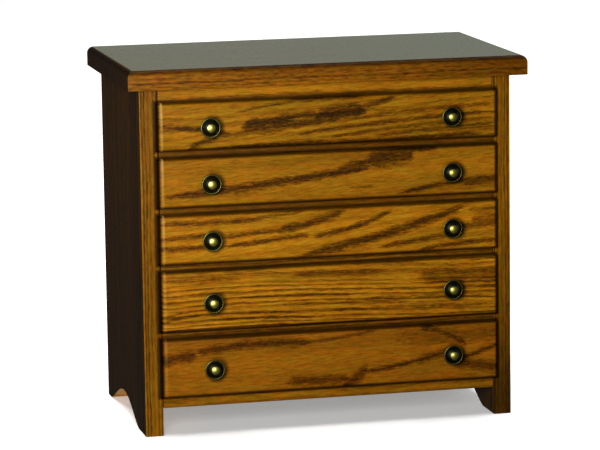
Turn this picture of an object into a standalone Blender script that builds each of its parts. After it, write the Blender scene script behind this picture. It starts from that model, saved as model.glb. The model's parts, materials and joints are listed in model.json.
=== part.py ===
"""Miniature oak chest with five lipped drawers and turned brass knobs.

Metres, +Z up, the drawers face -Y. The origin is at floor level, in the middle of the
overall width and of the overall depth with the knobs counted in.
"""

import math

import bmesh
import bpy
from mathutils import Matrix, Vector

MM = 0.001
GAP = 0.3 * MM  # left between pieces that touch

# Top board
TOP_WIDTH = 280 * MM
TOP_DEPTH = 160 * MM
TOP_THICKNESS = 13.5 * MM
TOP_ROUNDOVER = 4.5 * MM
TOP_ROUNDOVER_STEPS = 5
HEIGHT = 254 * MM

# Carcass
CARCASS_WIDTH = 261 * MM
SIDE_THICKNESS = 12.5 * MM
FRONT_OVERHANG = 12 * MM
BACK_OVERHANG = 2 * MM
BACK_THICKNESS = 4 * MM
BACK_RABBET = 6 * MM  # how far the back board reaches into each side
BACK_LOW = 18 * MM
BOTTOM_RAIL_LOW = 19.5 * MM
RAIL_DEPTH = 18 * MM
BOARD_THICKNESS = 7.6 * MM  # bottom board, as the dividers come out
DADO_DEPTH = 3 * MM
DADO_SETBACK = 8 * MM  # the housings stop short of the front edge
CLEAT_WIDTH = 12 * MM

# Foot cut-out in each side, a low bell-shaped arch between the feet
ARCH_CENTRE = 81 * MM  # behind the front edge
ARCH_HALF_WIDTH = 53 * MM
ARCH_HEIGHT = 16 * MM
ARCH_SHARPNESS = 1.3
ARCH_STEPS = 20

# Drawer fronts, from the top drawer to the bottom one
FRONT_HEIGHTS = (33.5 * MM, 34.5 * MM, 34.5 * MM, 42 * MM, 41 * MM)
FRONT_WIDTH = 240 * MM
LOWEST_FRONT = 27 * MM  # lower edge of the bottom drawer's front
RAIL_SHOWING = 4.6 * MM  # rail seen between two fronts
LIP_OVERLAP = 1.5 * MM  # lip over the rails
LIP_PROUD = 6 * MM
LIP_ROUNDOVER = 3.5 * MM
LIP_ROUNDOVER_STEPS = 4
PLUG_DEPTH = 6 * MM  # part of the front inside the opening
PLUG_INTO_LIP = 2 * MM  # overlap that joins the plug to the lip

# Drawer boxes
BOX_LENGTH = 135 * MM
BOX_SIDE_CLEARANCE = 0.5 * MM
BOX_TOP_CLEARANCE = 1.2 * MM
BOX_SIDE_THICKNESS = 5 * MM
BOX_BOTTOM_THICKNESS = 3 * MM
BOX_BOTTOM_UP = 4 * MM  # bottom board above the lower edge of the sides
GROOVE_DEPTH = 2.5 * MM

# Knobs and their screws
KNOB_INSET = 84.5 * MM  # from the middle of the chest
KNOB_LENGTH = 14 * MM
KNOB_BORE_DEPTH = 6.5 * MM
KNOB_STEPS = 20
SCREW_RADIUS = 1.5 * MM
SCREW_CLEARANCE = 0.3 * MM
SCREW_REACH = 5.5 * MM  # into the knob
SCREW_TIP = 1 * MM  # tapered end
SCREW_STEPS = 14
HOLE_SEGMENTS = 20

# How far a cutter runs past the wood it cuts
CUT_MARGIN = 1 * MM

# Worked out from the sizes above
TOP_LOW = HEIGHT - TOP_THICKNESS
INNER_HALF = CARCASS_WIDTH / 2 - SIDE_THICKNESS
CARCASS_DEPTH = TOP_DEPTH - FRONT_OVERHANG - BACK_OVERHANG
FRONT_Y = (LIP_PROUD + GAP + KNOB_LENGTH + FRONT_OVERHANG - TOP_DEPTH) / 2
BACK_Y = FRONT_Y + CARCASS_DEPTH
BOARD_BACK_Y = BACK_Y - BACK_THICKNESS - 2 * GAP
BOTTOM_RAIL_HIGH = LOWEST_FRONT + LIP_OVERLAP

OAK = (0.36, 0.17, 0.035)
DARK_OAK = (0.25, 0.11, 0.025)
POPLAR = (0.62, 0.46, 0.27)
PLYWOOD = (0.5, 0.33, 0.16)
BRASS = (0.55, 0.42, 0.16)
STEEL = (0.55, 0.55, 0.56)


def clear_scene():
    for old in list(bpy.data.objects):
        bpy.data.objects.remove(old, do_unlink=True)


def new_collection(name):
    collection = bpy.data.collections.new(name)
    bpy.context.scene.collection.children.link(collection)
    return collection


def material(name, colour, roughness, metallic):
    """A Principled material of one piece."""
    made = bpy.data.materials.new(name)
    made.use_nodes = True
    shader = made.node_tree.nodes["Principled BSDF"]
    shader.inputs["Base Color"].default_value = (*colour, 1)
    shader.inputs["Roughness"].default_value = roughness
    shader.inputs["Metallic"].default_value = metallic
    return made


def add_piece(name, mesh, colour, parent=None, roughness=0.35, metallic=0.0):
    """Link a mesh as one named piece of the chest, with a material of its own."""
    piece = bpy.data.objects.new(name, mesh)
    PARTS.objects.link(piece)
    mesh.materials.clear()
    mesh.materials.append(material(name, colour, roughness, metallic))
    piece.parent = parent
    return piece


def box_mesh(name, low, high):
    """A closed box between two corners."""
    low, high = Vector(low), Vector(high)
    shape = bmesh.new()
    bmesh.ops.create_cube(shape, size=1)
    bmesh.ops.scale(shape, vec=high - low, verts=shape.verts)
    bmesh.ops.translate(shape, vec=(low + high) / 2, verts=shape.verts)
    mesh = bpy.data.meshes.new(name)
    shape.to_mesh(mesh)
    shape.free()
    return mesh


def round_edges(mesh, wanted, radius, segments):
    """Round the edges whose middle point passes the test `wanted`."""
    shape = bmesh.new()
    shape.from_mesh(mesh)
    edges = [edge for edge in shape.edges if wanted((edge.verts[0].co + edge.verts[1].co) / 2)]
    bmesh.ops.bevel(
        shape, geom=edges, offset=radius, segments=segments, profile=0.5, affect="EDGES"
    )
    shape.to_mesh(mesh)
    shape.free()


def extruded_mesh(name, outline, thickness, rotation):
    """A flat outline as a filled curve, given its thickness about its own plane and turned."""
    curve = bpy.data.curves.new(name, "CURVE")
    curve.dimensions = "2D"
    curve.fill_mode = "BOTH"
    curve.extrude = thickness / 2
    spline = curve.splines.new("POLY")
    spline.points.add(len(outline) - 1)
    for point, (x, y) in zip(spline.points, outline):
        point.co = (x, y, 0, 1)
    spline.use_cyclic_u = True
    flat = bpy.data.objects.new(name + "_outline", curve)
    flat.rotation_euler = rotation
    bpy.context.scene.collection.objects.link(flat)
    bpy.context.view_layer.update()
    evaluated = flat.evaluated_get(bpy.context.evaluated_depsgraph_get())
    mesh = bpy.data.meshes.new_from_object(evaluated)
    mesh.transform(flat.matrix_world)
    bpy.data.objects.remove(flat)
    shape = bmesh.new()
    shape.from_mesh(mesh)
    bmesh.ops.remove_doubles(shape, verts=shape.verts, dist=0.01 * MM)
    bmesh.ops.recalc_face_normals(shape, faces=shape.faces)
    shape.to_mesh(mesh)
    shape.free()
    return mesh


def profile_mesh(name, profile):
    """The edge chain of a turned shape, running down its outer side."""
    mesh = bpy.data.meshes.new(name)
    points = [(radius, 0, height) for radius, height in profile]
    mesh.from_pydata(points, [(i, i + 1) for i in range(len(points) - 1)], [])
    return mesh


def add_turned(name, profile, steps, colour, parent):
    """A metal piece turned about its own Z and then laid to face -Y."""
    piece = add_piece(name, profile_mesh(name, profile), colour, parent, 0.3, 1.0)
    piece.rotation_euler = (math.pi / 2, 0, 0)
    turn = piece.modifiers.new("Turn", "SCREW")
    turn.axis = "Z"
    turn.steps = steps
    turn.render_steps = steps
    turn.use_merge_vertices = True
    turn.merge_threshold = 0.01 * MM
    turn.use_smooth_shade = True
    return piece


def boolean(piece, cutter, operation="DIFFERENCE"):
    """Cut `cutter` from the piece, or join it, and keep the cutter as a hidden guide."""
    CUTTERS.objects.link(cutter)
    cutter.parent = piece.parent
    cutter.hide_render = True
    cutter.display_type = "WIRE"
    step = piece.modifiers.new(cutter.name, "BOOLEAN")
    step.object = cutter
    step.operation = operation
    step.solver = "EXACT"


def box_cutter(name, low, high):
    return bpy.data.objects.new(name, box_mesh(name, low, high))


def openings():
    """Low and high edge of each drawer opening, from the top one down."""
    found = []
    low = LOWEST_FRONT
    for height in reversed(FRONT_HEIGHTS):
        found.insert(0, (low + LIP_OVERLAP, low + height - LIP_OVERLAP))
        low += height + RAIL_SHOWING
    return found


def boards():
    """Low and high face of each board between the sides, dividers first."""
    found = []
    spaces = openings()
    for above, below in zip(spaces, spaces[1:]):
        found.append((below[1], above[0]))
    found.append((BOTTOM_RAIL_HIGH - BOARD_THICKNESS, BOTTOM_RAIL_HIGH))
    return found


def side_outline():
    """A side panel's outline in depth and height, with the arch between its feet."""
    outline = [(FRONT_Y, 0), (FRONT_Y, TOP_LOW - GAP), (BACK_Y, TOP_LOW - GAP), (BACK_Y, 0)]
    for step in range(ARCH_STEPS + 1):
        along = 1 - 2 * step / ARCH_STEPS
        rise = max(math.cos(along * math.pi / 2), 0) ** ARCH_SHARPNESS
        outline.append((FRONT_Y + ARCH_CENTRE + along * ARCH_HALF_WIDTH, ARCH_HEIGHT * rise))
    return outline


def make_side(name, sign):
    """One side panel: feet and arch, housings for the boards, a rabbet for the back."""
    to_depth_and_height = (math.pi / 2, 0, math.pi / 2)
    mesh = extruded_mesh(name, side_outline(), SIDE_THICKNESS, to_depth_and_height)
    inner, outer = INNER_HALF, CARCASS_WIDTH / 2
    mesh.transform(Matrix.Translation((sign * (inner + outer) / 2, 0, 0)))
    side = add_piece(name, mesh, DARK_OAK)

    def cut(label, depth, front, low, back, high):
        xs = sorted((sign * (inner - CUT_MARGIN), sign * (inner + depth)))
        cutter = box_cutter(f"{name}_{label}", (xs[0], front, low), (xs[1], back, high))
        boolean(side, cutter)

    for number, (low, high) in enumerate(boards(), start=1):
        cut(f"housing_{number}", DADO_DEPTH, FRONT_Y + DADO_SETBACK, low - GAP, BACK_Y, high + GAP)
    cut("rabbet", BACK_RABBET, BOARD_BACK_Y, BACK_LOW - GAP, BACK_Y + CUT_MARGIN, HEIGHT)


def make_board(name, low, high, front, colour):
    """A full-width board whose tongues sit in the sides' housings."""
    narrow = INNER_HALF - GAP
    wide = INNER_HALF + DADO_DEPTH - GAP
    shoulder = FRONT_Y + DADO_SETBACK + GAP
    right = [(wide, BOARD_BACK_Y)]
    if front < shoulder:
        right = [(narrow, front), (narrow, shoulder), (wide, shoulder)] + right
    else:
        right = [(wide, front)] + right
    outline = right + [(-x, y) for x, y in reversed(right)]
    mesh = extruded_mesh(name, outline, high - low, (0, 0, 0))
    mesh.transform(Matrix.Translation((0, 0, (low + high) / 2)))
    return add_piece(name, mesh, colour)


def make_carcass():
    half = TOP_WIDTH / 2
    slab_front = FRONT_Y - FRONT_OVERHANG
    slab = box_mesh(
        "top_panel", (-half, slab_front, TOP_LOW), (half, slab_front + TOP_DEPTH, HEIGHT)
    )

    def is_front_or_end(middle):
        return middle.z > HEIGHT - GAP and middle.y < slab_front + TOP_DEPTH - GAP

    round_edges(slab, is_front_or_end, TOP_ROUNDOVER, TOP_ROUNDOVER_STEPS)
    add_piece("top_panel", slab, OAK)

    make_side("left_side", -1)
    make_side("right_side", 1)

    rail_half = INNER_HALF - GAP
    rail_back = FRONT_Y + RAIL_DEPTH
    top_rail_low = openings()[0][1]
    top_rail = box_mesh(
        "top_rail", (-rail_half, FRONT_Y, top_rail_low), (rail_half, rail_back, TOP_LOW - GAP)
    )
    add_piece("top_rail", top_rail, OAK)
    bottom_rail = box_mesh(
        "bottom_rail",
        (-rail_half, FRONT_Y, BOTTOM_RAIL_LOW),
        (rail_half, rail_back, BOTTOM_RAIL_HIGH),
    )
    add_piece("bottom_rail", bottom_rail, OAK)

    *dividers, bottom = boards()
    for number, (low, high) in enumerate(dividers, start=1):
        make_board(f"divider_{number}", low, high, FRONT_Y, OAK)
    make_board("bottom_board", *bottom, rail_back + GAP, POPLAR)

    for name, sign in (("cleat_left", -1), ("cleat_right", 1)):
        xs = sorted((sign * (rail_half - CLEAT_WIDTH), sign * rail_half))
        cleat = box_mesh(
            name,
            (xs[0], rail_back + GAP, top_rail_low),
            (xs[1], BOARD_BACK_Y, TOP_LOW - GAP),
        )
        add_piece(name, cleat, POPLAR)

    back_half = INNER_HALF + BACK_RABBET - GAP
    back = box_mesh(
        "back_panel",
        (-back_half, BACK_Y - BACK_THICKNESS, BACK_LOW),
        (back_half, BACK_Y, TOP_LOW - GAP),
    )
    add_piece("back_panel", back, PLYWOOD)


def knob_profile():
    """Knob profile (radius, height) from the dome down to its foot and up its bore."""
    dome_base, dome_radius, dome_rise = 9.2, 5.0, 4.8
    dome = []
    for step in range(5):
        angle = math.radians(90 - 18 * step)
        dome.append((dome_radius * math.cos(angle), dome_base + dome_rise * math.sin(angle)))
    dome[0] = (0, dome_base + dome_rise)
    cove_and_rim = [(5.6, 9.1), (6.2, 9.9), (6.8, 9.8), (6.9, 9.2)]
    neck_and_foot = [(6.2, 8.4), (4.2, 7.2), (2.9, 5.6), (2.8, 2.4), (3.7, 1.0), (3.7, 0)]
    bore_radius = (SCREW_RADIUS + SCREW_CLEARANCE) / MM
    bore = [(bore_radius, 0), (bore_radius, KNOB_BORE_DEPTH / MM), (0, KNOB_BORE_DEPTH / MM)]
    return [(r * MM, h * MM) for r, h in dome + cove_and_rim + neck_and_foot + bore]


def screw_profile():
    """Screw profile from its tip down the shank to the pan head."""
    thread = SCREW_RADIUS
    length = SCREW_REACH + LIP_PROUD + PLUG_DEPTH + 2 * GAP
    head = [(3 * MM, 0), (3 * MM, -0.9 * MM), (2.3 * MM, -1.8 * MM), (0, -2 * MM)]
    return [(0, length), (thread * 0.6, length), (thread, length - SCREW_TIP), (thread, 0)] + head


def make_knob(drawer, number, side, x, z, front_y):
    """One knob and the screw that holds it from inside the drawer."""
    knob = add_turned(f"knob_{number}_{side}", knob_profile(), KNOB_STEPS, BRASS, drawer)
    knob.location = (x, front_y - GAP, z)
    screw = add_turned(f"screw_{number}_{side}", screw_profile(), SCREW_STEPS, STEEL, drawer)
    screw.location = (x, PLUG_DEPTH + GAP, z)


def knob_hole(name, x, z):
    """A cutter for the screw's hole right through a drawer front."""
    radius = SCREW_RADIUS + SCREW_CLEARANCE
    shape = bmesh.new()
    bmesh.ops.create_cone(
        shape,
        cap_ends=True,
        segments=HOLE_SEGMENTS,
        radius1=radius,
        radius2=radius,
        depth=4 * (LIP_PROUD + PLUG_DEPTH),
    )
    mesh = bpy.data.meshes.new(name)
    shape.to_mesh(mesh)
    shape.free()
    cutter = bpy.data.objects.new(name, mesh)
    cutter.location = (x, 0, z)
    cutter.rotation_euler = (math.pi / 2, 0, 0)
    return cutter


def make_drawer_front(drawer, number, height, box_low, box_high):
    """The lipped front: a proud lip, a plug inside the opening, a groove, two knob holes."""
    name = f"drawer_{number}_front"
    half = FRONT_WIDTH / 2
    front_y = -LIP_PROUD
    mesh = box_mesh(name, (-half, front_y, 0), (half, -GAP, height))
    round_edges(
        mesh, lambda middle: middle.y < front_y + GAP, LIP_ROUNDOVER, LIP_ROUNDOVER_STEPS
    )
    front = add_piece(name, mesh, OAK, drawer)

    plug_half = INNER_HALF - BOX_SIDE_CLEARANCE - BOX_SIDE_THICKNESS - GAP
    plug = box_cutter(
        f"{name}_plug", (-plug_half, -PLUG_INTO_LIP, box_low), (plug_half, PLUG_DEPTH, box_high)
    )
    boolean(front, plug, "UNION")
    groove_low = box_low + BOX_BOTTOM_UP - GAP
    groove_high = groove_low + BOX_BOTTOM_THICKNESS + 2 * GAP
    groove = box_cutter(
        f"{name}_groove",
        (-plug_half - CUT_MARGIN, PLUG_DEPTH - GROOVE_DEPTH, groove_low),
        (plug_half + CUT_MARGIN, PLUG_DEPTH + CUT_MARGIN, groove_high),
    )
    boolean(front, groove)

    for side, x in (("left", -KNOB_INSET), ("right", KNOB_INSET)):
        boolean(front, knob_hole(f"{name}_hole_{side}", x, height / 2))
        make_knob(drawer, number, side, x, height / 2, front_y)


def make_drawer_box(drawer, number, box_low, box_high):
    """Two grooved sides, a back that stands on the bottom board, and the bottom board."""
    outer = INNER_HALF - BOX_SIDE_CLEARANCE
    inner = outer - BOX_SIDE_THICKNESS
    groove_low = box_low + BOX_BOTTOM_UP - GAP
    groove_high = groove_low + BOX_BOTTOM_THICKNESS + 2 * GAP
    section = [
        (outer, box_low),
        (outer, box_high),
        (inner, box_high),
        (inner, groove_high),
        (inner + GROOVE_DEPTH, groove_high),
        (inner + GROOVE_DEPTH, groove_low),
        (inner, groove_low),
        (inner, box_low),
    ]
    to_width_and_height = (math.pi / 2, 0, 0)
    for side, sign in (("left", -1), ("right", 1)):
        name = f"drawer_{number}_{side}"
        outline = [(sign * x, z) for x, z in section]
        mesh = extruded_mesh(name, outline, BOX_LENGTH, to_width_and_height)
        mesh.transform(Matrix.Translation((0, BOX_LENGTH / 2, 0)))
        add_piece(name, mesh, POPLAR, drawer)

    bottom_half = inner + GROOVE_DEPTH - GAP
    bottom_low = box_low + BOX_BOTTOM_UP
    bottom_high = bottom_low + BOX_BOTTOM_THICKNESS
    bottom = box_mesh(
        f"drawer_{number}_bottom",
        (-bottom_half, PLUG_DEPTH - GROOVE_DEPTH + GAP, bottom_low),
        (bottom_half, BOX_LENGTH, bottom_high),
    )
    add_piece(f"drawer_{number}_bottom", bottom, PLYWOOD, drawer)
    back_half = inner - GAP
    back = box_mesh(
        f"drawer_{number}_back",
        (-back_half, BOX_LENGTH - BOX_SIDE_THICKNESS, bottom_high + GAP),
        (back_half, BOX_LENGTH, box_high),
    )
    add_piece(f"drawer_{number}_back", back, POPLAR, drawer)


def make_drawer(number, height, opening):
    """One drawer about a parent empty at the foot of its front, on the carcass front plane."""
    lip_low = opening[0] - LIP_OVERLAP
    drawer = bpy.data.objects.new(f"drawer_{number}_slide", None)
    PARTS.objects.link(drawer)
    drawer.location = (0, FRONT_Y, lip_low)
    box_low = LIP_OVERLAP + GAP
    box_high = opening[1] - BOX_TOP_CLEARANCE - lip_low
    make_drawer_front(drawer, number, height, box_low, box_high)
    make_drawer_box(drawer, number, box_low, box_high)


clear_scene()
PARTS = new_collection("miniature_chest_of_drawers")
CUTTERS = new_collection("cutters")
make_carcass()
for index, (front_height, drawer_opening) in enumerate(zip(FRONT_HEIGHTS, openings()), start=1):
    make_drawer(index, front_height, drawer_opening)
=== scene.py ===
"""Looks of a miniature oak chest with five lipped drawers and turned brass knobs.

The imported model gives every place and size. Wooden nodes are copied with softened arrises,
knobs and screws are turned afresh with finer detail, and each board gets its own oak figure.
Lengths are metres, and millimetres where a comment says so.
"""

import json
import math

import bmesh
import bpy
from mathutils import Matrix, Vector


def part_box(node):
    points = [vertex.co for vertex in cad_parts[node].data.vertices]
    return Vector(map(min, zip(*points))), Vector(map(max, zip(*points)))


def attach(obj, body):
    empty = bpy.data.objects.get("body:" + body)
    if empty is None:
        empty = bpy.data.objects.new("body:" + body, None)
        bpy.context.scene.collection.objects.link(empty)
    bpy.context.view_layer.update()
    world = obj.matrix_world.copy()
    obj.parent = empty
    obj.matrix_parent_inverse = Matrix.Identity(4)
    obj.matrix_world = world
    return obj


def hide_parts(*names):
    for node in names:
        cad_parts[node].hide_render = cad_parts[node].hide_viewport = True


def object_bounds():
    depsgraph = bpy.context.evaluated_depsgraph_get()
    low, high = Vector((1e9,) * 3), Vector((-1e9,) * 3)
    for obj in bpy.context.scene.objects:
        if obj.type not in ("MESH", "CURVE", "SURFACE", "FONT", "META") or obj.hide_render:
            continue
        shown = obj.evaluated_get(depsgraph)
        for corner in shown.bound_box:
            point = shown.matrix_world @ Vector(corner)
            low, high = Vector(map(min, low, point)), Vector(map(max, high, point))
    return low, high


MM = 0.001

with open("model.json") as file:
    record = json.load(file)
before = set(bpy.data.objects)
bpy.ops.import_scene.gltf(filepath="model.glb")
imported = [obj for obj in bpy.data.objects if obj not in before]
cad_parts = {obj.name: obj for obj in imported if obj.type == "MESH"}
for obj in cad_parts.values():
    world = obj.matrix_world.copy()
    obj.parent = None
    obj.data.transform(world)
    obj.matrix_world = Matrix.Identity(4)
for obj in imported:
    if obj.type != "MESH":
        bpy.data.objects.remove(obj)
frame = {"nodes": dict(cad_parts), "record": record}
cad_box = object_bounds()
MIDDLE = (cad_box[0] + cad_box[1]) / 2

record = frame["record"]
BODY_OF = {
    node: body
    for body, nodes in record["behaviour"]["bodies"].items()
    for node in nodes
}
DRAWERS = range(1, 6)
SIDES = ("left", "right")


# ---------------------------------------------------------------- node trees


class Tree:
    """Short calls for building a shader node tree."""

    def __init__(self, tree):
        self.tree = tree

    def new(self, kind, **settings):
        node = self.tree.nodes.new(kind)
        for name, value in settings.items():
            setattr(node, name, value)
        return node

    def put(self, socket, value):
        if isinstance(value, bpy.types.NodeSocket):
            self.tree.links.new(value, socket)
        else:
            socket.default_value = value

    def math(self, operation, *values):
        node = self.new("ShaderNodeMath", operation=operation)
        for socket, value in zip(node.inputs, values):
            self.put(socket, value)
        return node.outputs[0]

    def ramp(self, value, low, high, to_low=0.0, to_high=1.0):
        """A smooth step of value from low to high, between to_low and to_high."""
        node = self.new("ShaderNodeMapRange", interpolation_type="SMOOTHSTEP")
        for name, given in (
            ("Value", value),
            ("From Min", low),
            ("From Max", high),
            ("To Min", to_low),
            ("To Max", to_high),
        ):
            self.put(node.inputs[name], given)
        return node.outputs["Result"]

    def noise(self, point, detail=2.0, roughness=0.5, scale=1.0, dimensions="3D"):
        node = self.new("ShaderNodeTexNoise", noise_dimensions=dimensions)
        self.put(node.inputs["W" if dimensions == "1D" else "Vector"], point)
        node.inputs["Scale"].default_value = scale
        node.inputs["Detail"].default_value = detail
        node.inputs["Roughness"].default_value = roughness
        return node.outputs["Fac"]

    def stretched(self, parts, along, across):
        """The point squeezed so that one noise cell is along by across by across."""
        sizes = (along, across, across)
        return self.join([self.math("DIVIDE", p, size) for p, size in zip(parts, sizes)])

    def split(self, vector):
        node = self.new("ShaderNodeSeparateXYZ")
        self.put(node.inputs[0], vector)
        return tuple(node.outputs)

    def join(self, parts):
        node = self.new("ShaderNodeCombineXYZ")
        for socket, part in zip(node.inputs, parts):
            self.put(socket, part)
        return node.outputs[0]

    def mix(self, factor, first, second, blend="MIX"):
        node = self.new("ShaderNodeMix", data_type="RGBA", blend_type=blend)
        self.put(node.inputs[0], factor)
        self.put(node.inputs[6], first)
        self.put(node.inputs[7], second)
        return node.outputs[2]

    def colours(self, value, stops):
        """A colour ramp through stops of (place, colour)."""
        node = self.new("ShaderNodeValToRGB")
        self.put(node.inputs[0], value)
        elements = node.color_ramp.elements
        while len(elements) < len(stops):
            elements.new(0.5)
        for element, (place, colour) in zip(elements, stops):
            element.position = place
            element.color = (*colour, 1)
        return node.outputs[0]


def grain_group():
    """Oak as a solid: growth rings round a pith line that runs near the board, open pores
    crowded into the start of each ring, and streaks along the grain.

    The point is in millimetres: X along the grain, Y across the seen face, Z into the wood.
    Figure is a darkness to add, where a board has dark streaks of its own.
    """
    group = bpy.data.node_groups.new("oak_grain", "ShaderNodeTree")
    face = group.interface
    face.new_socket("Point", in_out="INPUT", socket_type="NodeSocketVector")
    numbers = (
        ("Figure", 0.0),
        ("Rise", 0.0),
        ("Sway", 0.0),
        ("Sway Length", 60.0),
        ("Sway Start", 0.0),
        ("Pith Across", 0.0),
        ("Pith Depth", 20.0),
        ("Ring Width", 4.0),
        ("Ring Contrast", 0.5),
        ("Waviness", 2.0),
        ("Mottle", 0.3),
    )
    for name, value in numbers:
        socket = face.new_socket(name, in_out="INPUT", socket_type="NodeSocketFloat")
        socket.default_value = value
    for name in ("Dark", "Pores", "Tone"):
        face.new_socket(name, in_out="OUTPUT", socket_type="NodeSocketFloat")

    t = Tree(group)
    given = t.new("NodeGroupInput").outputs
    along, across, depth = t.split(given["Point"])

    # Distance from the pith line, which rises and sways as it runs along the board
    phase = t.math("ADD", t.math("DIVIDE", along, given["Sway Length"]), given["Sway Start"])
    sway = t.math("MULTIPLY", t.math("SINE", phase), given["Sway"])
    rise = t.math("MULTIPLY", along, given["Rise"])
    across = t.math("SUBTRACT", across, t.math("ADD", sway, rise))
    off_across = t.math("SUBTRACT", across, given["Pith Across"])
    off_depth = t.math("ADD", depth, given["Pith Depth"])
    squares = t.math("MULTIPLY", off_across, off_across)
    squares = t.math("MULTIPLY_ADD", off_depth, off_depth, squares)
    radius = t.math("SQRT", squares)

    # The rings are not true circles, and no two are the same width
    parts = (along, across, depth)
    slow = t.math("SUBTRACT", t.noise(t.stretched(parts, 75, 16), 1.0), 0.5)
    quick = t.math("SUBTRACT", t.noise(t.stretched(parts, 11, 1.1), 2.0), 0.5)
    radius = t.math("MULTIPLY_ADD", slow, given["Waviness"], radius)
    radius = t.math("MULTIPLY_ADD", quick, 1.9, radius)
    uneven = t.noise(t.math("DIVIDE", radius, 9.0), 1.0, dimensions="1D")
    radius = t.math("MULTIPLY_ADD", uneven, 5.0, radius)
    ring = t.math("DIVIDE", radius, given["Ring Width"])
    through = t.math("FRACT", ring)
    lottery = t.new("ShaderNodeTexWhiteNoise", noise_dimensions="1D")
    t.put(lottery.inputs["W"], t.math("FLOOR", ring))
    strength = t.ramp(lottery.outputs["Value"], 0.0, 1.0, 0.35, 1.0)
    begins = t.ramp(through, 0.0, 0.22)
    fades = t.ramp(through, 0.25, 0.85, 1.0, 0.0)
    early = t.math("MULTIPLY", t.math("MULTIPLY", begins, fades), strength)

    # Streaks and pores drawn out along the grain
    streaks = t.math("SUBTRACT", t.noise(t.stretched(parts, 8, 0.95), 4.0, 0.72), 0.5)
    dark = t.math("MULTIPLY", early, given["Ring Contrast"])
    dark = t.math("ADD", dark, given["Figure"])
    pores = t.ramp(t.noise(t.stretched(parts, 4.5, 0.26), 1.5, 0.6), 0.48, 0.70)
    crowded = t.math("MULTIPLY_ADD", dark, 0.9, 0.3)
    pores = t.math("MULTIPLY", pores, crowded)
    blotches = t.math("SUBTRACT", t.noise(t.stretched(parts, 8, 1.7), 3.0, 0.7), 0.5)
    dark = t.math("MULTIPLY_ADD", streaks, 1.0, dark)
    dark = t.math("MULTIPLY_ADD", blotches, given["Mottle"], dark)
    dark = t.math("MULTIPLY_ADD", pores, 0.30, dark)
    dark = t.math("ADD", dark, 0.12)
    tone = t.noise(t.stretched(parts, 90, 11), 1.0)

    out = t.new("NodeGroupOutput")
    t.put(out.inputs["Dark"], dark)
    t.put(out.inputs["Pores"], pores)
    t.put(out.inputs["Tone"], tone)
    return group


def streak_group():
    """One dark streak on a face, from one point to another, bent by so much at its middle.
    The points are in millimetres from the middle of the face."""
    group = bpy.data.node_groups.new("dark_streak", "ShaderNodeTree")
    face = group.interface
    names = ("Along", "Across", "Ragged", "From Along", "From Across", "To Along", "To Across",
             "Bend", "Width", "Strength")
    for name in names:
        face.new_socket(name, in_out="INPUT", socket_type="NodeSocketFloat")
    face.new_socket("Dark", in_out="OUTPUT", socket_type="NodeSocketFloat")
    t = Tree(group)
    given = t.new("NodeGroupInput").outputs
    length = t.math("SUBTRACT", given["To Along"], given["From Along"])
    share = t.math("DIVIDE", t.math("SUBTRACT", given["Along"], given["From Along"]), length)
    climb = t.math("SUBTRACT", given["To Across"], given["From Across"])
    line = t.math("MULTIPLY_ADD", climb, share, given["From Across"])
    hump = t.math("MULTIPLY", t.math("MULTIPLY", share, t.math("SUBTRACT", 1.0, share)), 4.0)
    line = t.math("MULTIPLY_ADD", hump, given["Bend"], line)
    off = t.math("SUBTRACT", given["Across"], line)
    wander = t.math("MULTIPLY_ADD", given["Width"], 2.2, 1.5)
    off = t.math("ABSOLUTE", t.math("MULTIPLY_ADD", given["Ragged"], wander, off))
    taper = t.ramp(hump, 0.0, 0.7, 0.4, 1.0)
    off = t.math("DIVIDE", off, t.math("MULTIPLY", given["Width"], taper))
    body = t.ramp(off, 0.0, 2.5, 1.0, 0.0)
    ends = t.ramp(t.math("MULTIPLY_ADD", given["Ragged"], 0.7, hump), -0.05, 0.40)
    out = t.new("NodeGroupOutput")
    t.put(out.inputs["Dark"], t.math("MULTIPLY", t.math("MULTIPLY", body, ends), given["Strength"]))
    return group


GRAIN = grain_group()
STREAK = streak_group()

# Which of the chest's axes run along, across and into a board
LYING = (0, 2, 1)  # grain runs left to right, seen from the front
STANDING = (2, 0, 1)  # grain runs up, seen from the front
BACKWARD = (1, 2, 0)  # grain runs front to back, seen from the end
FLAT = (0, 1, 2)  # grain runs left to right, seen from above

# Colours of wood from the palest to the darkest of its grain
STAINED = (
    (0.00, (0.67, 0.290, 0.010)),
    (0.22, (0.49, 0.188, 0.004)),
    (0.45, (0.27, 0.095, 0.0015)),
    (0.70, (0.100, 0.034, 0.0006)),
    (1.00, (0.038, 0.013, 0.0004)),
)
# Leans of the patches in the stain
RUDDY = (1.10, 0.95, 0.90)
OLIVE = (0.93, 1.04, 1.0)
SIDE_FACE_PAINTED_SHADE = 0.47  # painted shade: how bright a side's outer face is, beside its front edge
PAINTED_GLINT_COLOUR = (1.0, 0.65, 0.2, 1)  # pale colour of the painted highlight on a lip
BARE = (
    (0.0, (0.70, 0.53, 0.32)),
    (0.4, (0.60, 0.42, 0.235)),
    (0.8, (0.43, 0.275, 0.135)),
    (1.0, (0.33, 0.20, 0.09)),
)

BARE_ROUGHNESS = 0.6  # of wood with no finish
PLIES = 3


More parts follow.
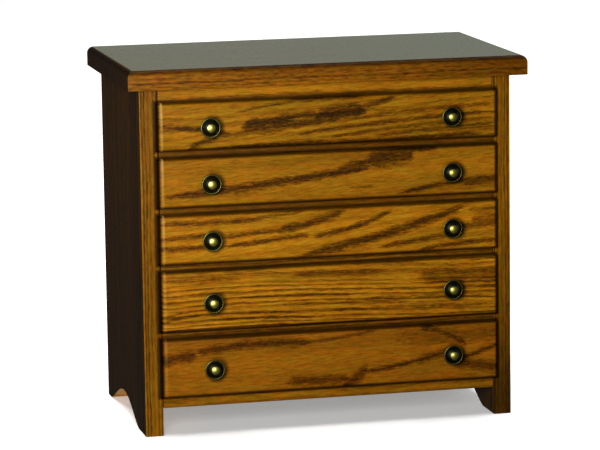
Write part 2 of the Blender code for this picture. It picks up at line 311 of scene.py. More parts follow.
def wood(name, node, lie, stops, tone=1.0, tint=(1, 1, 1), roughness=0.27, end_dark=0.25, streaks=(),
         shades=(), painted_glint=None, **figure):
    """A board's own wood. streaks are its dark streaks, and each of shades makes a factor for the colour
    from the place and normal; several of these are painted shade. painted_glint makes the share of a
    painted highlight."""
    low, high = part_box(node)
    middle = (low + high) / 2
    made = bpy.data.materials.new(name)
    made.use_nodes = True
    t = Tree(made.node_tree)
    place = t.new("ShaderNodeTexCoord")
    chest_place = t.split(place.outputs["Object"])
    parts = []
    for axis in lie:
        inward = t.math("SUBTRACT", chest_place[axis], middle[axis])
        parts.append(t.math("DIVIDE", inward, MM))
    grain = t.new("ShaderNodeGroup", node_tree=GRAIN)
    t.put(grain.inputs["Point"], t.join(parts))
    for key, value in figure.items():
        grain.inputs[key.replace("_", " ").title()].default_value = value
    if streaks:
        rough_edge = t.math("SUBTRACT", t.noise(t.stretched(parts, 4.5, 1.3), 3.0, 0.7), 0.5)
        darkest = 0.0
        for numbers in streaks:
            streak = t.new("ShaderNodeGroup", node_tree=STREAK)
            for socket, value in zip(streak.inputs, (parts[0], parts[1], rough_edge, *numbers)):
                t.put(socket, value)
            darkest = t.math("MAXIMUM", darkest, streak.outputs[0])
        broken = t.ramp(t.noise(t.stretched(parts, 3.0, 1.0), 2.0, 0.6), 0.3, 0.6, 0.42, 0.62)
        t.put(grain.inputs["Figure"], t.math("MULTIPLY", darkest, broken))

    colour = t.colours(grain.outputs["Dark"], stops)
    shade = t.ramp(grain.outputs["Tone"], 0.25, 0.75, 0.85 * tone, 1.15 * tone)
    # End grain drinks more stain
    normal = t.split(place.outputs["Normal"])
    facing = t.math("ABSOLUTE", normal[lie[0]])
    shade = t.math("MULTIPLY", shade, t.ramp(facing, 0.15, 0.75, 1.0, end_dark))
    for extra in shades:
        shade = t.math("MULTIPLY", shade, extra(t, chest_place, normal))
    colour = t.mix(1.0, colour, shade, "MULTIPLY")
    # Patches lean to red and to olive
    patches = t.noise(t.stretched(parts, 16, 3.5), 2.0)
    ruddy = tuple(share * lean for share, lean in zip(tint, RUDDY))
    olive = tuple(share * lean for share, lean in zip(tint, OLIVE))
    leaning = t.mix(t.ramp(patches, 0.3, 0.7), (*ruddy, 1), (*olive, 1))
    colour = t.mix(1.0, colour, leaning, "MULTIPLY")
    # A painted highlight mixed into the colour
    if painted_glint:
        colour = t.mix(painted_glint(t, chest_place), colour, PAINTED_GLINT_COLOUR)

    shader = made.node_tree.nodes["Principled BSDF"]
    t.put(shader.inputs["Base Color"], colour)
    shader.inputs["Specular IOR Level"].default_value = 0.25
    rough = t.math("MULTIPLY_ADD", grain.outputs["Pores"], 0.14, roughness)
    t.put(shader.inputs["Roughness"], rough)
    bump = t.new("ShaderNodeBump")
    bump.inputs["Strength"].default_value = 0.15
    bump.inputs["Distance"].default_value = 0.06 * MM
    t.put(bump.inputs["Height"], t.math("SUBTRACT", 1.0, grain.outputs["Pores"]))
    t.put(shader.inputs["Normal"], bump.outputs[0])
    return made


def fronts_group():
    """How far a place is outside the nearest drawer front, seen from the front, in millimetres."""
    group = bpy.data.node_groups.new("beside_fronts", "ShaderNodeTree")
    group.interface.new_socket("Place", in_out="INPUT", socket_type="NodeSocketVector")
    group.interface.new_socket("Beyond", in_out="OUTPUT", socket_type="NodeSocketFloat")
    t = Tree(group)
    place = t.split(t.new("NodeGroupInput").outputs["Place"])
    nearest = 1.0
    for number in DRAWERS:
        beyond = beyond_outline(t, place, *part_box(f"drawer_{number}_front"))
        nearest = t.math("MINIMUM", nearest, beyond)
    out = t.new("NodeGroupOutput")
    t.put(out.inputs["Beyond"], t.math("DIVIDE", nearest, MM))
    return group


def beyond_outline(t, place, low, high):
    """How far a place is outside an upright rectangle, seen from the front."""
    off = []
    for axis in (0, 2):
        from_middle = t.math("SUBTRACT", place[axis], (low[axis] + high[axis]) / 2)
        half = (high[axis] - low[axis]) / 2
        off.append(t.math("SUBTRACT", t.math("ABSOLUTE", from_middle), half))
    return t.math("MAXIMUM", *off)


BESIDE_FRONTS = fronts_group()


def painted_shade_beside_fronts(t, place, normal):
    """Painted shade: the frame is darker beside the drawer fronts, where the lips and the gaps between
    them shade it.
    """
    beside = t.new("ShaderNodeGroup", node_tree=BESIDE_FRONTS)
    t.put(beside.inputs[0], t.join(place))
    return t.ramp(beside.outputs[0], 0.3, 2.3, 0.22, 1.0)


def painted_light_on_lip(number):
    """Painted light on a front's rounded lip: painted shade above, below and on the right, and a painted
    highlight on the left, up to its dark outline."""
    low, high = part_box(f"drawer_{number}_front")

    def shade(t, place, normal):
        # How far inside each edge of the front a place is, in millimetres
        left = t.math("DIVIDE", t.math("SUBTRACT", place[0], low.x), MM)
        right = t.math("DIVIDE", t.math("SUBTRACT", high.x, place[0]), MM)
        below = t.math("DIVIDE", t.math("SUBTRACT", place[2], low.z), MM)
        above = t.math("DIVIDE", t.math("SUBTRACT", high.z, place[2]), MM)
        # Painted highlight on the left lip
        made = t.ramp(left, 3.9, 5.4, 1.25, 1.0)
        # Painted shade along each edge, darkest at the outline
        shaded_edges = ((left, 3.3, 0.1), (right, 3.6, 0.18), (below, 2.8, 0.2), (above, 2.3, 0.2))
        for inside, width, least in shaded_edges:
            edge_shade = t.ramp(inside, 0.25 * width, width, least, 1.0)
            made = t.math("MULTIPLY", made, edge_shade)
        return made

    return shade


def painted_shadow_round_knobs(number):
    """A painted shadow: a soft dark ring on a front round each knob, a little to the lower right, away
    from the light.
    """

    def shade(t, place, normal):
        nearest = 1.0
        for side in SIDES:
            low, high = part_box(f"knob_{number}_{side}")
            across = t.math("SUBTRACT", place[0], (low.x + high.x) / 2 + 3.6 * MM)
            up = t.math("SUBTRACT", place[2], (low.z + high.z) / 2 - 1.2 * MM)
            squares = t.math("MULTIPLY_ADD", across, across, t.math("MULTIPLY", up, up))
            nearest = t.math("MINIMUM", nearest, t.math("SQRT", squares))
        return t.ramp(nearest, 6.2 * MM, 9.6 * MM, 0.42, 1.0)

    return shade


def painted_glint_lip(number):
    """A painted highlight: a pale line down a front's left lip, most of all high up."""
    low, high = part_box(f"drawer_{number}_front")

    def share(t, place):
        left = t.math("DIVIDE", t.math("SUBTRACT", place[0], low.x), MM)
        line = t.math("MULTIPLY", t.ramp(left, 2.4, 3.8), t.ramp(left, 3.7, 4.9, 1.0, 0.0))
        most = LIP_GLINT_STRENGTH[number]
        upper = t.ramp(place[2], low.z, high.z - 3 * MM, 0.35 * most, most)
        patchy = t.ramp(t.noise(t.join(place), 2.0, scale=250), 0.35, 0.65, 0.55, 1.0)
        return t.math("MULTIPLY", line, t.math("MULTIPLY", upper, patchy))

    return share


def painted_shade_outer_face(side):
    """Painted shade: the broad outer face of a side is darker than its golden front edge, most of all
    towards the floor and towards the front. On the front edge, the outer arris gets a painted highlight,
    then a darker band."""
    outward = -1 if side == "left" else 1
    low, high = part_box(f"{side}_side")
    outer = low.x if side == "left" else high.x

    def shade(t, place, normal):
        share = t.ramp(place[2], low.z, high.z, 0.62, 1.05)
        near_front = t.ramp(place[1], low.y + 20 * MM, low.y + 50 * MM, 0.75, 1.1)
        share = t.math("MULTIPLY", share, t.math("MULTIPLY", near_front, SIDE_FACE_PAINTED_SHADE))
        outside = t.math("MULTIPLY", normal[0], outward)
        made = t.ramp(outside, 0.4, 0.9, 1.0, share)
        inward = t.math("MULTIPLY", t.math("SUBTRACT", outer, place[0]), outward / MM)
        arris_highlight = t.ramp(inward, 0.9, 1.5, 1.35, 0.75)
        arris_highlight = t.math("MULTIPLY", arris_highlight, t.ramp(inward, 1.6, 3.4, 1.0, 1 / 0.75))
        on_edge = t.ramp(t.math("MULTIPLY", normal[1], -1), 0.6, 0.9)
        arris_highlight = t.math("MULTIPLY_ADD", t.math("SUBTRACT", arris_highlight, 1.0), on_edge, 1.0)
        return t.math("MULTIPLY", made, arris_highlight)

    return shade


def dark_foot(t, place, normal):
    """The right front edge darkens towards its foot: partly darker stain, partly painted shade."""
    return t.ramp(place[2], 8 * MM, 105 * MM, 0.24, 1.0)


def dark_right_end(t, place, normal):
    """Painted shade: the top board's front edge is darker to the right, where less light falls."""
    return t.ramp(place[0], -80 * MM, 140 * MM, 1.0, 0.62)


def dark_top_arris(t, place, normal):
    """Painted shade: the top board is darker from the middle of its rounded edge upwards, where less light
    falls on it.
    """
    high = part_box("top_panel")[1].z
    return t.ramp(place[2], high - 4.2 * MM, high - 1.6 * MM, 1.0, 0.4)


def plywood(name, node, lie):
    """Thin plywood: a pale sliced face, and a dark middle ply that shows on its edges."""
    made = wood(name, node, lie, BARE, tone=0.86, roughness=BARE_ROUGHNESS, end_dark=0.75, pith_depth=40.0,
                ring_width=7.0)
    t = Tree(made.node_tree)
    place = t.new("ShaderNodeTexCoord")
    low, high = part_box(node)
    depth_axis = lie[2]
    ply = (high[depth_axis] - low[depth_axis]) / PLIES
    deep = t.math("SUBTRACT", t.split(place.outputs["Object"])[depth_axis], low[depth_axis])
    inner = t.math("COMPARE", t.math("DIVIDE", deep, ply), PLIES / 2, 0.5)
    facing = t.math("ABSOLUTE", t.split(place.outputs["Normal"])[depth_axis])
    edge = t.math("SUBTRACT", 1.0, facing)
    dark_ply = t.math("MULTIPLY", inner, t.ramp(edge, 0.5, 0.9))
    shader = made.node_tree.nodes["Principled BSDF"]
    before = shader.inputs["Base Color"].links[0].from_socket
    shade = t.ramp(dark_ply, 0.0, 1.0, 1.0, 0.55)
    t.put(shader.inputs["Base Color"], t.mix(1.0, before, shade, "MULTIPLY"))
    return made


def brass():
    """Polished brass on the high places, near-black patina in the hollows; the near-black on the dome's
    flank is partly patina, partly a painted dark reflection.
    """
    made = bpy.data.materials.new("antique_brass")
    made.use_nodes = True
    t = Tree(made.node_tree)
    place = t.new("ShaderNodeTexCoord")
    wear_and_painted_reflection = t.new("ShaderNodeAttribute", attribute_name="wear_and_painted_reflection").outputs["Fac"]
    patches = t.noise(place.outputs["Object"], 4.0, 0.6, scale=420)
    bare = t.math("ADD", wear_and_painted_reflection, t.math("MULTIPLY", t.math("SUBTRACT", patches, 0.5), 0.3))
    bare = t.ramp(bare, 0.2, 0.85)
    colour = t.mix(bare, (0.012, 0.011, 0.006, 1), (0.42, 0.38, 0.075, 1))
    shader = made.node_tree.nodes["Principled BSDF"]
    t.put(shader.inputs["Base Color"], colour)
    shader.inputs["Metallic"].default_value = 1.0
    t.put(shader.inputs["Roughness"], t.ramp(bare, 0.0, 1.0, 0.5, 0.41))
    bump = t.new("ShaderNodeBump")
    bump.inputs["Strength"].default_value = 0.2
    bump.inputs["Distance"].default_value = 0.03 * MM
    t.put(bump.inputs["Height"], patches)
    t.put(shader.inputs["Normal"], bump.outputs[0])
    return made


def zinc():
    """Zinc-plated steel, finely mottled."""
    made = bpy.data.materials.new("zinc_plate")
    made.use_nodes = True
    t = Tree(made.node_tree)
    place = t.new("ShaderNodeTexCoord")
    mottle = t.noise(place.outputs["Object"], 3.0, 0.6, scale=900)
    shader = made.node_tree.nodes["Principled BSDF"]
    t.put(
        shader.inputs["Base Color"],
        t.colours(mottle, ((0.3, (0.42, 0.43, 0.44)), (0.7, (0.66, 0.66, 0.65)))),
    )
    shader.inputs["Metallic"].default_value = 1.0
    t.put(shader.inputs["Roughness"], t.ramp(mottle, 0.3, 0.7, 0.28, 0.45))
    return made


# ---------------------------------------------------------------- meshes


def piece_from(name, shape, material):
    """A new object of one material from a finished bmesh, which is freed."""
    mesh = bpy.data.meshes.new(name)
    shape.to_mesh(mesh)
    shape.free()
    mesh.materials.append(material)
    made = bpy.data.objects.new(name, mesh)
    bpy.context.scene.collection.objects.link(made)
    return made


def stand_for(made, node):
    """made takes the place of a CAD node, on the same body, and the node is hidden."""
    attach(made, BODY_OF[node])
    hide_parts(node)


def softened(node, material, width=0.45 * MM, steps=3):
    """A copy of a wooden node whose sharp outer arrises are eased, as sanding leaves them."""
    shape = bmesh.new()
    shape.from_mesh(frame["nodes"][node].data)
    bmesh.ops.remove_doubles(shape, verts=shape.verts, dist=0.002 * MM)
    bmesh.ops.dissolve_limit(
        shape, angle_limit=math.radians(0.5), verts=shape.verts, edges=shape.edges
    )
    sharp = math.radians(40)
    arrises = [e for e in shape.edges if e.is_convex and e.calc_face_angle(0) > sharp]
    bmesh.ops.bevel(
        shape,
        geom=arrises,
        offset=width,
        segments=steps,
        profile=0.5,
        affect="EDGES",
        clamp_overlap=True,
    )
    for face in shape.faces:
        face.smooth = True
    for edge in shape.edges:
        edge.smooth = edge.calc_face_angle(0) < math.radians(35)
    made = piece_from(f"{node}_wood", shape, material)
    weighted = made.modifiers.new("even shading", "WEIGHTED_NORMAL")
    weighted.keep_sharp = True
    stand_for(made, node)
    return made


# ---------------------------------------------------------------- the carcass

# What the front edges of the boards share, and where each board differs
EDGE_GRAIN = dict(ring_width=2.6, ring_contrast=0.42, waviness=3.0, pith_depth=70.0)
oak_boards = {
    "top_panel": dict(lie=LYING, tone=0.69, tint=(1, 0.86, 0.8), pith_across=-60.0, ring_width=3.2,
                      ring_contrast=0.3, mottle=1.3, shades=(dark_top_arris, dark_right_end)),
    "left_side": dict(lie=STANDING, tone=0.64, end_dark=0.9, pith_across=30.0,
                      shades=(painted_shade_beside_fronts, painted_shade_outer_face("left"))),
    "right_side": dict(lie=STANDING, tone=0.66, end_dark=0.9, pith_across=-30.0,
                       shades=(painted_shade_beside_fronts, painted_shade_outer_face("right"), dark_foot)),
    "top_rail": dict(lie=LYING, tone=0.95, pith_across=40.0, shades=(painted_shade_beside_fronts,)),
    "bottom_rail": dict(lie=LYING, tone=0.7, pith_across=30.0, shades=(painted_shade_beside_fronts,)),
}
divider_figures = {  # tone, green in its tint, pith across
    1: (0.46, 0.9, 30.0),
    2: (0.52, 0.9, -30.0),
    3: (0.62, 0.95, 25.0),
    4: (0.52, 0.9, -25.0),
}
for number, (tone, green, pith) in divider_figures.items():
    oak_boards[f"divider_{number}"] = dict(lie=LYING, tone=tone, tint=(1, green, 0.9),
                                           pith_across=pith, shades=(painted_shade_beside_fronts,))
oak_pieces = {}
for node, figure in oak_boards.items():
    board_wood = wood(f"oak_{node}", node, stops=STAINED, **{**EDGE_GRAIN, **figure})
    oak_pieces[node] = softened(node, board_wood)

plain_boards = {
    "bottom_board": FLAT,
    "cleat_left": BACKWARD,
    "cleat_right": BACKWARD,
}
for node, lie in plain_boards.items():
    softened(node, wood(f"bare_{node}", node, lie, BARE, roughness=BARE_ROUGHNESS, end_dark=0.75,
                        pith_depth=60.0))
softened("back_panel", plywood("plywood_back", "back_panel", STANDING), width=0.25 * MM, steps=2)


# ---------------------------------------------------------------- drawer fronts and boxes

# How strong the painted highlight on each front's left lip is, at its top
LIP_GLINT_STRENGTH = {1: 0.75, 2: 0.6, 3: 0.5, 4: 0.25, 5: 0.15}

# How the background grain of each front lies
front_figures = {
    1: dict(rise=0.06, tone=1.0, tint=(0.97, 1.02, 1.0), pith_across=30.0, ring_width=5.0,
            ring_contrast=0.20),
    2: dict(rise=0.05, tone=0.92, pith_across=-40.0, ring_width=9.0, ring_contrast=0.12),
    3: dict(rise=0.08, tone=1.16, pith_across=40.0, ring_width=7.0, ring_contrast=0.12),
    4: dict(rise=-0.008, sway=2.0, sway_length=60.0, sway_start=2.4, tone=1.16, pith_across=60.0,
            pith_depth=60.0, ring_width=2.7, ring_contrast=0.5, waviness=3.0),
    5: dict(rise=0.02, tone=0.78, tint=(1.0, 0.88, 0.85), pith_across=0.0, ring_width=12.0,
            ring_contrast=0.10),
}

# The dark streaks of each front, in millimetres from its middle:
# from (along, across) to (along, across), bend, half width, strength
front_streaks = {
    1: (
        (-66, 8.5, -18, 15, 0.3, 0.8, 0.6),
        (-30, 15.4, 28, 15.6, 0.0, 1.3, 0.7),
        (-62, -1.8, -22, 0.6, 0.3, 3.0, 1.05),
        (-46, 1.5, -4, 5.2, 0.8, 1.5, 0.9),
        (-12, 2.8, 27, 6.2, 0.5, 3.2, 1.1),
        (-42, -3.0, 12, 2.0, 0.0, 1.7, 0.95),
        (18, 6.5, 48, 15, -0.5, 1.4, 0.75),
        (8, 0, 122, 7.5, 1.0, 1.0, 0.65),
        (-30, -9.5, 122, 1.5, 2.2, 1.1, 0.7),
        (-6, -12, 122, -2.5, 1.2, 0.9, 0.65),
        (26, -12.5, 122, -6.5, 0.4, 0.9, 0.65),
        (66, -10.5, 122, -9, 0.0, 0.8, 0.55),
        (-84, -14.8, 122, -13.6, -0.5, 1.1, 0.8),
        (-122, 1.0, -66, -6.5, 0.8, 1.3, 0.85),
        (-100, -17, -76, -8, 1.6, 1.7, 0.75),
        (-88, -8, -30, -5.5, 0.3, 1.0, 0.65),
        (-120, 5.8, -100, 5.6, 0.0, 0.7, 0.5),
    ),
    2: (
        (-120, -9.2, 34, 5.6, -1.2, 1.8, 1.05),
        (-70, -7, -44, -4, 0.0, 2.4, 0.7),
        (2, 3.0, 60, 12.4, 1.6, 2.2, 0.9),
        (25, 9.4, 61, 12.2, 0.3, 3.4, 1.0),
        (48, -14.5, 122, -5.5, 1.6, 1.2, 0.9),
        (94, -9.5, 122, -6, 0.2, 1.8, 0.7),
        (40, 15.5, 78, 16, 0.0, 1.3, 0.75),
        (14, -8.4, 32, -8.8, 0.0, 0.8, 0.4),
    ),
    3: (
        (-122, 11.4, -44, 12.2, -0.4, 1.3, 0.75),
        (-56, 12.4, -16, 16, 0.3, 0.9, 0.6),
        (-122, 0.6, -84, 3.2, 0.2, 1.2, 0.7),
        (-78, 0.2, -26, 3.8, 0.5, 1.2, 0.75),
        (-40, 2.4, 12, 15.5, -1.2, 2.0, 0.9),
        (-122, -5.2, -86, -5.8, 0.0, 1.4, 0.85),
        (-78, -6.2, -12, -0.6, 0.0, 1.1, 0.85),
        (-14, -2.2, 46, 14.5, -3.0, 1.4, 0.85),
        (-24, -15, 102, 16, -3.2, 2.3, 0.97),
        (34, -12, 88, -5.5, 0.6, 1.3, 0.75),
        (60, -16, 122, -11, 1.5, 1.2, 0.8),
        (88, -1, 122, 1.5, 0.0, 1.6, 0.6),
        (100, 3, 122, 6, 0.0, 2.8, 0.6),
        (98, 11, 122, 12, 0.0, 1.4, 0.5),
    ),
    4: (
        (-124, -15, -90, -9, 1.0, 0.8, 0.6),
        (-124, -11.5, -84, -5.5, 1.0, 0.7, 0.55),
        (-96, -9, -20, -11.5, 0.8, 0.7, 0.55),
        (-90, -13, -10, -15.5, 0.8, 0.7, 0.5),
        (-40, -5, 60, -8.5, 0.5, 0.7, 0.5),
        (-10, -11.5, 122, -13.5, 0.8, 0.8, 0.6),
        (20, -4, 122, -7.5, 0.4, 0.7, 0.5),
        (-70, 1.5, 20, -1.0, 0.3, 0.6, 0.45),
        (60, 9, 130, 5, 0.0, 4.5, 0.5),
        (-118, 14.5, -60, 14.0, 0.0, 1.0, 0.5),
        (-30, 14.5, 40, 14.0, 0.0, 1.8, 0.4),
    ),
    5: (
        (-124, 4.5, -94, 9.5, 0.5, 2.8, 0.85),
        (-102, 10, -10, 12.8, 2.6, 2.0, 0.9),
        (-20, 12.8, 34, 19, -0.5, 0.9, 0.6),
        (62, 18.6, 98, 4.5, 2.8, 1.9, 0.85),
        (18, -11, 92, 3, -1.4, 1.2, 0.9),
        (58, -4.5, 90, 2.2, 0.0, 2.2, 0.65),
        (-34, -13.4, 16, -14.4, 0.0, 2.3, 0.75),
        (6, -22, 26, -7.0, 0.0, 3.2, 0.8),
        (92, -4.5, 122, 5, -0.5, 1.3, 0.85),
        (86, -6.5, 122, -12.5, 0.0, 2.4, 0.8),
        (40, 13, 134, 12, 0.0, 5.0, 0.35),
    ),
}
for number in DRAWERS:
    node = f"drawer_{number}_front"
    front_wood = wood(f"oak_{node}", node, LYING, STAINED, streaks=front_streaks[number],
                      shades=(painted_light_on_lip(number), painted_shadow_round_knobs(number)),
                      painted_glint=painted_glint_lip(number), **front_figures[number])
    softened(node, front_wood, width=0.3 * MM)
    for side in SIDES:
        node = f"drawer_{number}_{side}"
        softened(node, wood(f"bare_{node}", node, BACKWARD, BARE, roughness=BARE_ROUGHNESS, end_dark=0.8,
                            pith_depth=30.0, pith_across=8.0 * number))
    node = f"drawer_{number}_back"
    softened(node, wood(f"bare_{node}", node, LYING, BARE, roughness=BARE_ROUGHNESS, end_dark=0.8,
                        pith_depth=30.0))
    node = f"drawer_{number}_bottom"
    softened(node, plywood(f"plywood_{node}", node, FLAT), width=0.2 * MM, steps=2)


# ---------------------------------------------------------------- knobs and screws

KNOB_SEGMENTS = 72
SCREW_SEGMENTS = 48
SCREW_HEAD = 2 * MM
KNOB_WAIST = (  # radius, height above the drawer front, wear with painted reflection; all in millimetres
    (5.00, 9.20, 0.15),
    (5.15, 8.98, 0.0),
    (5.40, 8.95, 0.0),
    (5.65, 9.12, 0.0),
    (5.90, 9.50, 0.25),
    (6.12, 9.82, 0.42),
    (6.36, 9.97, 0.42),
    (6.62, 9.90, 0.34),
    (6.82, 9.66, 0.34),
    (6.90, 9.36, 0.28),
    (6.80, 9.00, 0.22),
    (6.45, 8.60, 0.3),
    (5.70, 8.05, 0.2),
    (4.80, 7.50, 0.15),
    (3.90, 6.85, 0.15),
    (3.25, 6.10, 0.1),
    (2.92, 5.20, 0.1),
    (2.80, 4.00, 0.1),
    (2.80, 2.60, 0.05),
    (2.95, 1.90, 0.0),
    (3.30, 1.35, 0.0),
    (3.62, 1.05, 0.2),
    (3.70, 0.85, 0.3),
    (3.70, 0.00, 0.0),
)


def knob_profile():
    """Radius, height, and wear with painted reflection, from the top of the dome down to the foot."""
    radius, base, height = 5.0, 9.2, 4.8  # millimetres
    steps = 18
    dome = []
    for step in range(steps):
        angle = math.pi / 2 * (1 - step / steps)
        # Near-black on the dome's flank: partly patina, partly a painted dark reflection
        bare = max(0.0, (math.sin(angle) - 0.70) / 0.28)
        dome.append((radius * math.cos(angle), base + height * math.sin(angle), bare))
    return dome + list(KNOB_WAIST)


def turned(name, profile, segments, centre, outward, material):
    """A shape turned round the front-to-back axis; outward is -1 towards the front."""
    shape = bmesh.new()
    wear_and_painted_reflection = shape.verts.layers.float.new("wear_and_painted_reflection")
    rings = []
    for radius, height, bare in profile:
        count = 1 if radius < 1e-6 else segments
        ring = []
        for step in range(count):
            angle = 2 * math.pi * step / segments
            x, z = radius * math.cos(angle), radius * math.sin(angle)
            vert = shape.verts.new(Vector((x, outward * height, z)) * MM)
            vert[wear_and_painted_reflection] = bare
            ring.append(vert)
        rings.append(ring)
    for above, below in zip(rings, rings[1:]):
        for step in range(segments):
            following = (step + 1) % segments
            corners = [above[step % len(above)], above[following % len(above)]]
            corners += [below[following % len(below)], below[step % len(below)]]
            corners = list(dict.fromkeys(corners))
            if len(corners) > 2:
                shape.faces.new(corners)
    if len(rings[-1]) > 1:
        shape.faces.new(rings[-1])
    bmesh.ops.recalc_face_normals(shape, faces=shape.faces)
    for face in shape.faces:
        face.smooth = True
    for edge in shape.edges:
        edge.smooth = edge.calc_face_angle(0) < math.radians(50)
    made = piece_from(name, shape, material)
    made.location = centre
    return made


def screw_profile():
    """Radius, height and wear of a pan-head screw from the middle of its head to its tip."""
    head = [(0.0, 2.0, 1.0), (1.2, 1.97, 1.0), (1.9, 1.86, 1.0), (2.45, 1.62, 1.0),
            (2.8, 1.25, 1.0), (2.97, 0.8, 1.0), (3.0, 0.35, 1.0), (2.95, 0.0, 1.0)]
    shank = [(1.5, 0.0, 1.0)]
    pitch, length = 0.7, 18.1  # millimetres
    turn = 0.0
    while turn < length - 1.4:
        shank += [(1.5, -turn - 0.1, 1.0), (1.22, -turn - 0.45, 1.0)]
        turn += pitch
    shank += [(0.9, -length, 1.0), (0.0, -length, 1.0)]
    return head + shank


def cross_recess(screw):
    """Cuts the driver's cross into the screw's head."""
    arm, half_width, deep = 1.5, 0.28, 1.1  # millimetres
    shape = bmesh.new()
    for turn in (0, math.pi / 2):
        cube = bmesh.ops.create_cube(shape, size=1)["verts"]
        bmesh.ops.scale(shape, vec=Vector((2 * arm, 2 * deep, 2 * half_width)) * MM, verts=cube)
        for vert in cube:
            if vert.co.y < 0:
                vert.co.x *= 0.35
        bmesh.ops.rotate(shape, matrix=Matrix.Rotation(turn, 3, "Y"), verts=cube)
    cutter = piece_from("recess_cutter", shape, screw.data.materials[0])
    cutter.location = screw.location + Vector((0, SCREW_HEAD, 0))
    cut = screw.modifiers.new("recess", "BOOLEAN")
    cut.operation = "DIFFERENCE"
    cut.solver = "EXACT"
    cut.use_self = True
    cut.object = cutter
    depsgraph = bpy.context.evaluated_depsgraph_get()
    finished = bpy.data.meshes.new_from_object(screw.evaluated_get(depsgraph))
    screw.modifiers.clear()
    screw.data = finished
    bpy.data.objects.remove(cutter)


def copy_of(first, name, place):
    """Another piece with the first one's mesh, in its own place."""
    made = bpy.data.objects.new(name, first.data)
    bpy.context.scene.collection.objects.link(made)
    made.location = place
    return made


knob_brass = brass()
screw_zinc = zinc()
knobs = []
screws = []
for number in DRAWERS:
    for side in SIDES:
        node = f"knob_{number}_{side}"
        low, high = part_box(node)
        foot = Vector(((low.x + high.x) / 2, high.y, (low.z + high.z) / 2))
        if knobs:
            knob = copy_of(knobs[0], f"{node}_brass", foot)
        else:
            knob = turned(f"{node}_brass", knob_profile(), KNOB_SEGMENTS, foot, -1, knob_brass)
        stand_for(knob, node)
        knobs.append(knob)

        node = f"screw_{number}_{side}"
        low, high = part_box(node)
        under_head = Vector(((low.x + high.x) / 2, high.y - SCREW_HEAD, (low.z + high.z) / 2))
        if screws:
            screw = copy_of(screws[0], f"{node}_zinc", under_head)
        else:
            screw = turned(
                f"{node}_zinc", screw_profile(), SCREW_SEGMENTS, under_head, 1, screw_zinc
            )
            cross_recess(screw)
        stand_for(screw, node)
        screws.append(screw)


# ---------------------------------------------------------------- studio


def studio_bowl():
    """A pale floor that curves up into walls all round. It gives the chest no light."""
    made = bpy.data.materials.new("pale_floor")
    made.use_nodes = True
    t = Tree(made.node_tree)
    place = t.new("ShaderNodeTexCoord")
    mottle = t.noise(place.outputs["Object"], 3.0, scale=3)
    shader = made.node_tree.nodes["Principled BSDF"]
    t.put(
        shader.inputs["Base Color"],
        t.colours(mottle, ((0.3, (0.80, 0.80, 0.79)), (0.7, (0.83, 0.83, 0.82)))),
    )
    shader.inputs["Roughness"].default_value = 0.9
    shader.inputs["Emission Color"].default_value = (1.0, 0.99, 0.98, 1)
    shader.inputs["Emission Strength"].default_value = 0.3
    shader.inputs["Specular IOR Level"].default_value = 0.1

    shape = bmesh.new()
    flat, wall, tall = 5.0, 7.0, 6.0  # radius of the floor, of the walls, and their height
    curve_steps, segments = 16, 96
    profile = [(0.0, 0.0), (flat, 0.0)]
    for step in range(1, curve_steps + 1):
        angle = math.pi / 2 * step / curve_steps
        out, up = math.sin(angle), 1 - math.cos(angle)
        profile.append((flat + (wall - flat) * out, (wall - flat) * up))
    profile.append((wall, tall))
    for radius, height in profile:
        shape.verts.new((radius, 0, height))
    shape.verts.ensure_lookup_table()
    for first, second in zip(shape.verts[:-1], shape.verts[1:]):
        shape.edges.new((first, second))
    bmesh.ops.spin(
        shape,
        geom=shape.verts[:] + shape.edges[:],
        cent=(0, 0, 0),
        axis=(0, 0, 1),
        angle=2 * math.pi,
        steps=segments,
    )
    bmesh.ops.remove_doubles(shape, verts=shape.verts, dist=MM)
    bmesh.ops.recalc_face_normals(shape, faces=shape.faces)
    for face in shape.faces:
        face.smooth = True
    floor = piece_from("floor", shape, made)
    floor.visible_diffuse = False
    floor.visible_glossy = False
    return floor


def area_light(name, place, target, width, height, watts, round_shape=False):
    """A flat light of so many watts, turned to face its target."""
    data = bpy.data.lights.new(name, "AREA")
    data.shape = "ELLIPSE" if round_shape else "RECTANGLE"
    data.size = width
    data.size_y = height
    data.energy = watts
    light = bpy.data.objects.new(name, data)
    light.location = place
    toward = Vector(target) - Vector(place)
    light.rotation_euler = toward.to_track_quat("-Z", "Y").to_euler()
    bpy.context.scene.collection.objects.link(light)
    return light


def lights_only(light, pieces):
    """The light falls on these pieces alone."""
    lit = bpy.data.collections.new(f"lit_by_{light.name}")
    for piece in pieces:
        lit.objects.link(piece)
    light.light_linking.receiver_collection = lit
    return lit


def around(azimuth, elevation, distance):
    """A point seen from the chest's middle; azimuth is from straight ahead, right positive."""
    a, e = math.radians(azimuth), math.radians(elevation)
    off = Vector((math.sin(a) * math.cos(e), -math.cos(a) * math.cos(e), math.sin(e)))
    return MIDDLE + off * distance


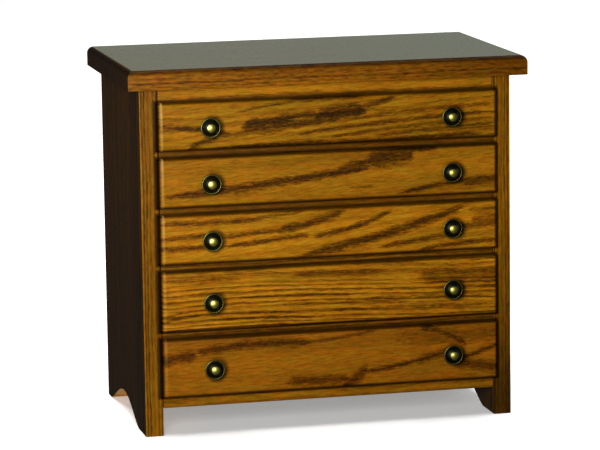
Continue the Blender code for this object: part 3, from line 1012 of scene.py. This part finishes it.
floor = studio_bowl()
area_light("key", around(-21, 12, 0.95), MIDDLE, 0.36, 0.30, 5.1, round_shape=True)
back = area_light("backdrop", (1.15, 2.6, 0.7), (0.2, 0, 0.25), 2.0, 1.1, 4.0)
back.data.color = (0.88, 1.0, 0.80)
area_light("right_rear_fill", around(118, 22, 2.2), MIDDLE, 1.8, 2.0, 15)
area_light("top_fill", (0, 0.5, 2.2), MIDDLE, 1.6, 1.6, 4.5)
overhead = area_light("floor_light", (0, 0.3, 3.2), (0, 0, 0), 3.4, 3.4, 230)
lights_only(overhead, (floor,))

# The knobs alone catch a glint from the upper left
glint = area_light("knob_glint", around(-50, 20, 0.6), MIDDLE, 0.33, 0.33, 11.0, round_shape=True)
lights_only(glint, knobs)

# The floor gives no light, so a small light under it stands in for its glow on the left arch
left_low, left_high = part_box("left_side")
under_arch = Vector((left_low.x + 50 * MM, (left_low.y + left_high.y) / 2, -30 * MM))
bounce = area_light("floor_bounce", under_arch, under_arch + Vector((0, 0, 1)), 0.10, 0.15, 0.12)
bounce.light_linking.blocker_collection = lights_only(bounce, (oak_pieces["left_side"],))

world = bpy.data.worlds.new("studio")
bpy.context.scene.world = world
world.use_nodes = True
world.node_tree.nodes["Background"].inputs["Color"].default_value = (1.0, 0.98, 0.95, 1)
world.node_tree.nodes["Background"].inputs["Strength"].default_value = 0.03

# The camera stands to the left and a little above, far off, with a long lens
CAMERA_PLACE = (-0.5423, -2.2871, 0.5241)
CAMERA_YAW = 0.23076
CAMERA_PITCH = 0.16581
CAMERA_ROLL = -0.01409
CAMERA_LENS = 202.41  # millimetres, on a 36 mm sensor
camera_data = bpy.data.cameras.new("camera")
camera_data.sensor_width = 36
camera_data.lens = CAMERA_LENS
camera = bpy.data.objects.new("camera", camera_data)
camera.matrix_world = (
    Matrix.Translation(CAMERA_PLACE)
    @ Matrix.Rotation(-CAMERA_YAW, 4, "Z")
    @ Matrix.Rotation(math.pi / 2 - CAMERA_PITCH, 4, "X")
    @ Matrix.Rotation(CAMERA_ROLL, 4, "Z")
)
bpy.context.scene.collection.objects.link(camera)
bpy.context.scene.camera = camera
bpy.context.scene.view_settings.view_transform = "Standard"
